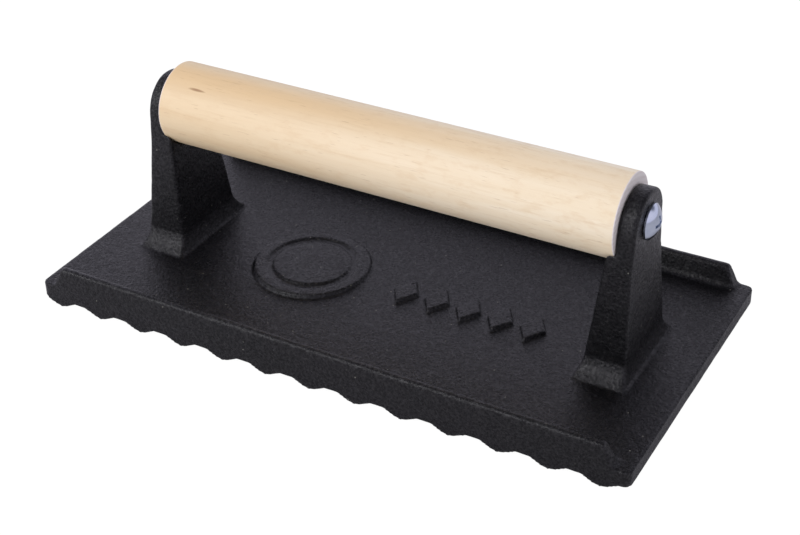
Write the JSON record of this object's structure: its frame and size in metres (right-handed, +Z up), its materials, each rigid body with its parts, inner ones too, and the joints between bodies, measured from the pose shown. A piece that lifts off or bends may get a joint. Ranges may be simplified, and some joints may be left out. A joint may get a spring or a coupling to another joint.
{
  "type": "grill press",
  "caption": "Cast-iron meat press: a flat plate with a ribbed underside, two raised lips and two posts that carry a turned wooden handle.",
  "frame": {"origin": "middle of the footprint, on the plane of the rib crests that the press stands on", "axes": "+X along the handle, to the right; +Y across the plate, away from the front; +Z up"},
  "size_m": [0.21, 0.1068, 0.07],
  "materials": {
    "seasoned_iron": "satin, fine casting grain",
    "pale_wood": "bare sanded",
    "zinc_steel": "bright zinc plate"
  },
  "bodies": {
    "casting": {"press_body": "seasoned_iron"},
    "grip": {"handle": "pale_wood", "screw_left": "zinc_steel", "screw_right": "zinc_steel"}
  },
  "joints": [
    {"name": "handle_turn", "type": "hinge", "parent": "casting", "child": "grip", "pos_m": [0, 0, 0.0564], "axis": [1, 0, 0], "continuous": true}
  ]
}
